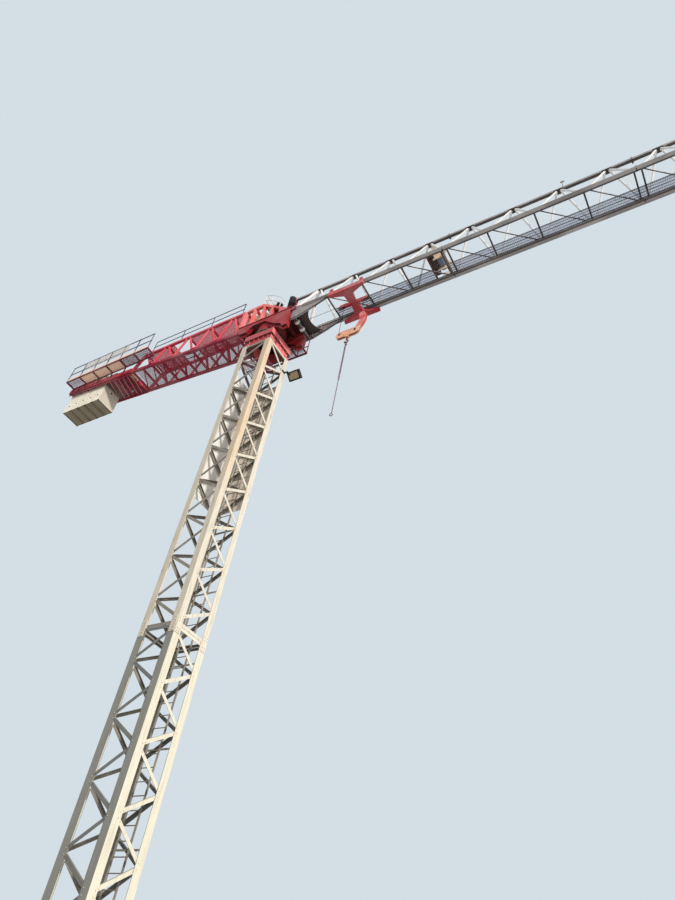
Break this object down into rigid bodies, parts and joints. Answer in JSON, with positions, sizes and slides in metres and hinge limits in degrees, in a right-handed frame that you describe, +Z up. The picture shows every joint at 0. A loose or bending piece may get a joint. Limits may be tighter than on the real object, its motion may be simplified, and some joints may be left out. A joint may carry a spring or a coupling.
{
  "type": "flat-top tower crane",
  "caption": "Small flat-top tower crane on a square lattice mast, with a slewing turret, ballasted counter-jib, triangular lattice jib, trolley, hook block and chain sling.",
  "frame": {"origin": "middle of the mast at the underside of its foot plates, on the ground", "axes": "+Z up the mast, +X along the jib at rest, +Y to the left of the jib"},
  "size_m": [33.05, 2.1, 24.35],
  "materials": {
    "cream": "cream paint, weathered",
    "beige": "old beige paint with rust",
    "ladder": "dull paint",
    "board": "plain white sheet",
    "lamp": "black powder coat",
    "red": "red paint, faded",
    "steel": "greased steel",
    "motor": "black paint",
    "cabinet": "beige paint",
    "cage": "white paint",
    "walkway": "dark red frame with panels",
    "rail": "dark paint",
    "concrete": "pale concrete",
    "jib": "grey galvanised",
    "foot": "dark grey paint",
    "mesh": "galvanised mesh",
    "rope": "greased wire rope",
    "block": "faded orange paint",
    "hook": "forged, painted",
    "chain": "painted chain"
  },
  "bodies": {
    "tower": {"base_frame": "cream", "lower_mast_left_side": "cream", "lower_mast_right_side": "cream", "lower_mast_front_bracing": "cream", "lower_mast_rear_bracing": "cream", "upper_mast_left_side": "beige", "upper_mast_right_side": "beige", "upper_mast_front_bracing": "beige", "upper_mast_rear_bracing": "beige", "mast_ladder": "ladder", "rear_board": "board", "left_board": "board", "floodlight": "lamp", "support_frame": "red", "ring_gear": "steel"},
    "slewing_part": {"slewing_ring": "steel", "turret_frame": "red", "turret_head": "red", "slewing_drives": "motor", "control_cabinets": "cabinet", "guard_cage": "cage", "service_platform": "red", "counter_jib_left_side": "red", "counter_jib_right_side": "red", "counter_jib_floor": "red", "counter_jib_top_bracing": "red", "rear_frame": "red", "side_walkway": "walkway", "walkway_rail": "rail", "counter_jib_rail": "rail", "ballast_slabs": "concrete", "hoist_winch_frame": "red", "hoist_drum": "steel", "hoist_motor": "motor", "jib_foot": "foot", "jib_inner_left_side": "jib", "jib_inner_right_side": "jib", "jib_inner_floor": "jib", "jib_middle_left_side": "jib", "jib_middle_right_side": "jib", "jib_middle_floor": "jib", "jib_outer_left_side": "jib", "jib_outer_right_side": "jib", "jib_outer_floor": "jib", "jib_tip": "jib", "jib_walkway": "mesh", "trolley_winch": "cabinet", "hoist_rope": "rope"},
    "trolley": {"trolley_frame": "red", "trolley_wheels": "steel", "trolley_sheaves": "steel"},
    "block": {"hook_block": "block", "hook_sheaves": "steel", "rope_falls": "rope"},
    "hook": {"hook": "hook", "chain_sling": "chain"}
  },
  "joints": [
    {"name": "slew", "type": "hinge", "parent": "tower", "child": "slewing_part", "pos_m": [0, 0, 21.5], "axis": [0, 0, 1], "continuous": true},
    {"name": "trolley_travel", "type": "slide", "parent": "slewing_part", "child": "trolley", "axis": [1, 0, 0], "range_m": [-0.3, 17.85]},
    {"name": "hoist", "type": "slide", "parent": "trolley", "child": "block", "axis": [0, 0, -1], "range_m": [-0.6, 15], "deforming": ["rope_falls"]},
    {"name": "hook_swivel", "type": "hinge", "parent": "block", "child": "hook", "pos_m": [3.5, 0, 20], "axis": [0, 0, 1], "continuous": true}
  ]
}
